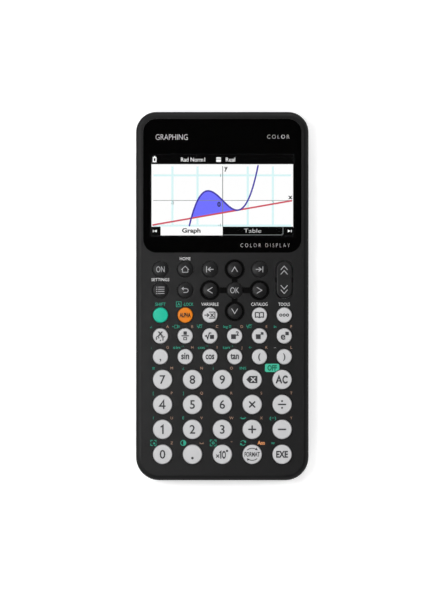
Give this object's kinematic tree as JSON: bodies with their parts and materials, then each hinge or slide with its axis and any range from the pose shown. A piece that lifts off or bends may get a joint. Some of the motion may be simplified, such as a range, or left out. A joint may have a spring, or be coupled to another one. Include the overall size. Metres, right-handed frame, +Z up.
{
  "type": "graphing calculator",
  "caption": "Slim graphing calculator with a colour display behind a gloss window, sprung round keys, a page rocker and a hinged battery door.",
  "frame": {"origin": "on the surface it rests on, under the middle of the body", "axes": "+X across the body to the right, +Y along the body towards the display, +Z up through the keys"},
  "size_m": [0.089, 0.19, 0.0185],
  "materials": {
    "front_shell": "fine moulded texture, near black",
    "rear_shell": "fine moulded texture, near black",
    "battery_door": "fine moulded texture, near black",
    "window": "clear hard-coated acrylic with a black printed border",
    "display": "dark colour display panel",
    "board": "green solder mask",
    "silicone": "translucent grey silicone",
    "cell": "plain wrapped cell",
    "contact_metal": "nickel-plated spring steel",
    "screw_steel": "black-zinc screws",
    "foot_rubber": "soft black rubber",
    "light_key": "satin light grey",
    "dark_key": "satin near black",
    "green_key": "satin green",
    "orange_key": "satin orange"
  },
  "bodies": {
    "case": {"front_cover": "front_shell", "rear_cover": "rear_shell", "display_window": "window", "display_module": "display", "circuit_board": "board", "key_mat": "silicone", "batteries": "cell", "battery_contacts": "contact_metal", "cover_screws": "screw_steel", "rubber_feet": "foot_rubber"},
    "battery_door": {"battery_cover": "battery_door"},
    "page_rocker": {"key_page_rocker": "dark_key"},
    "key_on": {"key_on": "dark_key"},
    "key_home": {"key_home": "dark_key"},
    "key_line_start": {"key_line_start": "dark_key"},
    "key_up": {"key_up": "dark_key"},
    "key_line_end": {"key_line_end": "dark_key"},
    "key_settings": {"key_settings": "dark_key"},
    "key_back": {"key_back": "dark_key"},
    "key_left": {"key_left": "dark_key"},
    "key_ok": {"key_ok": "dark_key"},
    "key_right": {"key_right": "dark_key"},
    "key_down": {"key_down": "dark_key"},
    "key_shift": {"key_shift": "green_key"},
    "key_alpha": {"key_alpha": "orange_key"},
    "key_variable": {"key_variable": "light_key"},
    "key_catalog": {"key_catalog": "light_key"},
    "key_tools": {"key_tools": "light_key"},
    "key_x_variable": {"key_x_variable": "light_key"},
    "key_fraction": {"key_fraction": "light_key"},
    "key_square_root": {"key_square_root": "light_key"},
    "key_square": {"key_square": "light_key"},
    "key_power": {"key_power": "light_key"},
    "key_exponential": {"key_exponential": "light_key"},
    "key_comma": {"key_comma": "light_key"},
    "key_sin": {"key_sin": "light_key"},
    "key_cos": {"key_cos": "light_key"},
    "key_tan": {"key_tan": "light_key"},
    "key_left_bracket": {"key_left_bracket": "light_key"},
    "key_right_bracket": {"key_right_bracket": "light_key"},
    "key_7": {"key_7": "light_key"},
    "key_8": {"key_8": "light_key"},
    "key_9": {"key_9": "light_key"},
    "key_delete": {"key_delete": "light_key"},
    "key_all_clear": {"key_all_clear": "light_key"},
    "key_4": {"key_4": "light_key"},
    "key_5": {"key_5": "light_key"},
    "key_6": {"key_6": "light_key"},
    "key_multiply": {"key_multiply": "light_key"},
    "key_divide": {"key_divide": "light_key"},
    "key_1": {"key_1": "light_key"},
    "key_2": {"key_2": "light_key"},
    "key_3": {"key_3": "light_key"},
    "key_plus": {"key_plus": "light_key"},
    "key_minus": {"key_minus": "light_key"},
    "key_0": {"key_0": "light_key"},
    "key_decimal_point": {"key_decimal_point": "light_key"},
    "key_exponent": {"key_exponent": "light_key"},
    "key_format": {"key_format": "light_key"},
    "key_execute": {"key_execute": "light_key"}
  },
  "joints": [
    {"name": "battery_door_hinge", "type": "hinge", "parent": "case", "child": "battery_door", "pos_m": [0, 0.07365, 0.0006], "axis": [1, 0, 0], "range_deg": [0, 75]},
    {"name": "page_rocker_tilt", "type": "hinge", "parent": "case", "child": "page_rocker", "pos_m": [0.0319, 0.0084, 0.0156], "axis": [1, 0, 0], "range_deg": [-7, 7], "stiffness_Nm_per_rad": 0.03, "deforming": ["key_mat"]},
    {"name": "press_up", "type": "slide", "parent": "case", "child": "key_up", "axis": [0, 0, -1], "range_m": [0, 0.0012], "stiffness_N_per_m": 500, "springref_m": -0.0004, "deforming": ["key_mat"]},
    {"name": "press_ok", "type": "slide", "parent": "case", "child": "key_ok", "axis": [0, 0, -1], "range_m": [0, 0.0012], "stiffness_N_per_m": 500, "springref_m": -0.0004, "deforming": ["key_mat"]},
    {"name": "press_7", "type": "slide", "parent": "case", "child": "key_7", "axis": [0, 0, -1], "range_m": [0, 0.0012], "stiffness_N_per_m": 500, "springref_m": -0.0004, "deforming": ["key_mat"]},
    {"name": "press_execute", "type": "slide", "parent": "case", "child": "key_execute", "axis": [0, 0, -1], "range_m": [0, 0.0012], "stiffness_N_per_m": 500, "springref_m": -0.0004, "deforming": ["key_mat"]},
    {"name": "press_on", "type": "slide", "parent": "case", "child": "key_on", "axis": [0, 0, -1], "range_m": [0, 0.0012], "stiffness_N_per_m": 500, "springref_m": -0.0004, "deforming": ["key_mat"]},
    {"name": "press_shift", "type": "slide", "parent": "case", "child": "key_shift", "axis": [0, 0, -1], "range_m": [0, 0.0012], "stiffness_N_per_m": 500, "springref_m": -0.0004, "deforming": ["key_mat"]},
    {"name": "press_left", "type": "slide", "parent": "case", "child": "key_left", "axis": [0, 0, -1], "range_m": [0, 0.0012], "stiffness_N_per_m": 500, "springref_m": -0.0004, "deforming": ["key_mat"]},
    {"name": "press_down", "type": "slide", "parent": "case", "child": "key_down", "axis": [0, 0, -1], "range_m": [0, 0.0012], "stiffness_N_per_m": 500, "springref_m": -0.0004, "deforming": ["key_mat"]},
    {"name": "press_sin", "type": "slide", "parent": "case", "child": "key_sin", "axis": [0, 0, -1], "range_m": [0, 0.0012], "stiffness_N_per_m": 500, "springref_m": -0.0004, "deforming": ["key_mat"]},
    {"name": "press_5", "type": "slide", "parent": "case", "child": "key_5", "axis": [0, 0, -1], "range_m": [0, 0.0012], "stiffness_N_per_m": 500, "springref_m": -0.0004, "deforming": ["key_mat"]},
    {"name": "press_home", "type": "slide", "parent": "case", "child": "key_home", "axis": [0, 0, -1], "range_m": [0, 0.0012], "stiffness_N_per_m": 500, "springref_m": -0.0004, "deforming": ["key_mat"]},
    {"name": "press_line_start", "type": "slide", "parent": "case", "child": "key_line_start", "axis": [0, 0, -1], "range_m": [0, 0.0012], "stiffness_N_per_m": 500, "springref_m": -0.0004, "deforming": ["key_mat"]},
    {"name": "press_line_end", "type": "slide", "parent": "case", "child": "key_line_end", "axis": [0, 0, -1], "range_m": [0, 0.0012], "stiffness_N_per_m": 500, "springref_m": -0.0004, "deforming": ["key_mat"]},
    {"name": "press_settings", "type": "slide", "parent": "case", "child": "key_settings", "axis": [0, 0, -1], "range_m": [0, 0.0012], "stiffness_N_per_m": 500, "springref_m": -0.0004, "deforming": ["key_mat"]},
    {"name": "press_back", "type": "slide", "parent": "case", "child": "key_back", "axis": [0, 0, -1], "range_m": [0, 0.0012], "stiffness_N_per_m": 500, "springref_m": -0.0004, "deforming": ["key_mat"]},
    {"name": "press_right", "type": "slide", "parent": "case", "child": "key_right", "axis": [0, 0, -1], "range_m": [0, 0.0012], "stiffness_N_per_m": 500, "springref_m": -0.0004, "deforming": ["key_mat"]},
    {"name": "press_alpha", "type": "slide", "parent": "case", "child": "key_alpha", "axis": [0, 0, -1], "range_m": [0, 0.0012], "stiffness_N_per_m": 500, "springref_m": -0.0004, "deforming": ["key_mat"]},
    {"name": "press_variable", "type": "slide", "parent": "case", "child": "key_variable", "axis": [0, 0, -1], "range_m": [0, 0.0012], "stiffness_N_per_m": 500, "springref_m": -0.0004, "deforming": ["key_mat"]},
    {"name": "press_catalog", "type": "slide", "parent": "case", "child": "key_catalog", "axis": [0, 0, -1], "range_m": [0, 0.0012], "stiffness_N_per_m": 500, "springref_m": -0.0004, "deforming": ["key_mat"]},
    {"name": "press_tools", "type": "slide", "parent": "case", "child": "key_tools", "axis": [0, 0, -1], "range_m": [0, 0.0012], "stiffness_N_per_m": 500, "springref_m": -0.0004, "deforming": ["key_mat"]},
    {"name": "press_x_variable", "type": "slide", "parent": "case", "child": "key_x_variable", "axis": [0, 0, -1], "range_m": [0, 0.0012], "stiffness_N_per_m": 500, "springref_m": -0.0004, "deforming": ["key_mat"]},
    {"name": "press_fraction", "type": "slide", "parent": "case", "child": "key_fraction", "axis": [0, 0, -1], "range_m": [0, 0.0012], "stiffness_N_per_m": 500, "springref_m": -0.0004, "deforming": ["key_mat"]},
    {"name": "press_square_root", "type": "slide", "parent": "case", "child": "key_square_root", "axis": [0, 0, -1], "range_m": [0, 0.0012], "stiffness_N_per_m": 500, "springref_m": -0.0004, "deforming": ["key_mat"]},
    {"name": "press_square", "type": "slide", "parent": "case", "child": "key_square", "axis": [0, 0, -1], "range_m": [0, 0.0012], "stiffness_N_per_m": 500, "springref_m": -0.0004, "deforming": ["key_mat"]},
    {"name": "press_power", "type": "slide", "parent": "case", "child": "key_power", "axis": [0, 0, -1], "range_m": [0, 0.0012], "stiffness_N_per_m": 500, "springref_m": -0.0004, "deforming": ["key_mat"]},
    {"name": "press_exponential", "type": "slide", "parent": "case", "child": "key_exponential", "axis": [0, 0, -1], "range_m": [0, 0.0012], "stiffness_N_per_m": 500, "springref_m": -0.0004, "deforming": ["key_mat"]},
    {"name": "press_comma", "type": "slide", "parent": "case", "child": "key_comma", "axis": [0, 0, -1], "range_m": [0, 0.0012], "stiffness_N_per_m": 500, "springref_m": -0.0004, "deforming": ["key_mat"]},
    {"name": "press_cos", "type": "slide", "parent": "case", "child": "key_cos", "axis": [0, 0, -1], "range_m": [0, 0.0012], "stiffness_N_per_m": 500, "springref_m": -0.0004, "deforming": ["key_mat"]},
    {"name": "press_tan", "type": "slide", "parent": "case", "child": "key_tan", "axis": [0, 0, -1], "range_m": [0, 0.0012], "stiffness_N_per_m": 500, "springref_m": -0.0004, "deforming": ["key_mat"]},
    {"name": "press_left_bracket", "type": "slide", "parent": "case", "child": "key_left_bracket", "axis": [0, 0, -1], "range_m": [0, 0.0012], "stiffness_N_per_m": 500, "springref_m": -0.0004, "deforming": ["key_mat"]},
    {"name": "press_right_bracket", "type": "slide", "parent": "case", "child": "key_right_bracket", "axis": [0, 0, -1], "range_m": [0, 0.0012], "stiffness_N_per_m": 500, "springref_m": -0.0004, "deforming": ["key_mat"]},
    {"name": "press_8", "type": "slide", "parent": "case", "child": "key_8", "axis": [0, 0, -1], "range_m": [0, 0.0012], "stiffness_N_per_m": 500, "springref_m": -0.0004, "deforming": ["key_mat"]},
    {"name": "press_9", "type": "slide", "parent": "case", "child": "key_9", "axis": [0, 0, -1], "range_m": [0, 0.0012], "stiffness_N_per_m": 500, "springref_m": -0.0004, "deforming": ["key_mat"]},
    {"name": "press_delete", "type": "slide", "parent": "case", "child": "key_delete", "axis": [0, 0, -1], "range_m": [0, 0.0012], "stiffness_N_per_m": 500, "springref_m": -0.0004, "deforming": ["key_mat"]},
    {"name": "press_all_clear", "type": "slide", "parent": "case", "child": "key_all_clear", "axis": [0, 0, -1], "range_m": [0, 0.0012], "stiffness_N_per_m": 500, "springref_m": -0.0004, "deforming": ["key_mat"]},
    {"name": "press_4", "type": "slide", "parent": "case", "child": "key_4", "axis": [0, 0, -1], "range_m": [0, 0.0012], "stiffness_N_per_m": 500, "springref_m": -0.0004, "deforming": ["key_mat"]},
    {"name": "press_6", "type": "slide", "parent": "case", "child": "key_6", "axis": [0, 0, -1], "range_m": [0, 0.0012], "stiffness_N_per_m": 500, "springref_m": -0.0004, "deforming": ["key_mat"]},
    {"name": "press_multiply", "type": "slide", "parent": "case", "child": "key_multiply", "axis": [0, 0, -1], "range_m": [0, 0.0012], "stiffness_N_per_m": 500, "springref_m": -0.0004, "deforming": ["key_mat"]},
    {"name": "press_divide", "type": "slide", "parent": "case", "child": "key_divide", "axis": [0, 0, -1], "range_m": [0, 0.0012], "stiffness_N_per_m": 500, "springref_m": -0.0004, "deforming": ["key_mat"]},
    {"name": "press_1", "type": "slide", "parent": "case", "child": "key_1", "axis": [0, 0, -1], "range_m": [0, 0.0012], "stiffness_N_per_m": 500, "springref_m": -0.0004, "deforming": ["key_mat"]},
    {"name": "press_2", "type": "slide", "parent": "case", "child": "key_2", "axis": [0, 0, -1], "range_m": [0, 0.0012], "stiffness_N_per_m": 500, "springref_m": -0.0004, "deforming": ["key_mat"]},
    {"name": "press_3", "type": "slide", "parent": "case", "child": "key_3", "axis": [0, 0, -1], "range_m": [0, 0.0012], "stiffness_N_per_m": 500, "springref_m": -0.0004, "deforming": ["key_mat"]},
    {"name": "press_plus", "type": "slide", "parent": "case", "child": "key_plus", "axis": [0, 0, -1], "range_m": [0, 0.0012], "stiffness_N_per_m": 500, "springref_m": -0.0004, "deforming": ["key_mat"]},
    {"name": "press_minus", "type": "slide", "parent": "case", "child": "key_minus", "axis": [0, 0, -1], "range_m": [0, 0.0012], "stiffness_N_per_m": 500, "springref_m": -0.0004, "deforming": ["key_mat"]},
    {"name": "press_0", "type": "slide", "parent": "case", "child": "key_0", "axis": [0, 0, -1], "range_m": [0, 0.0012], "stiffness_N_per_m": 500, "springref_m": -0.0004, "deforming": ["key_mat"]},
    {"name": "press_decimal_point", "type": "slide", "parent": "case", "child": "key_decimal_point", "axis": [0, 0, -1], "range_m": [0, 0.0012], "stiffness_N_per_m": 500, "springref_m": -0.0004, "deforming": ["key_mat"]},
    {"name": "press_exponent", "type": "slide", "parent": "case", "child": "key_exponent", "axis": [0, 0, -1], "range_m": [0, 0.0012], "stiffness_N_per_m": 500, "springref_m": -0.0004, "deforming": ["key_mat"]},
    {"name": "press_format", "type": "slide", "parent": "case", "child": "key_format", "axis": [0, 0, -1], "range_m": [0, 0.0012], "stiffness_N_per_m": 500, "springref_m": -0.0004, "deforming": ["key_mat"]}
  ]
}
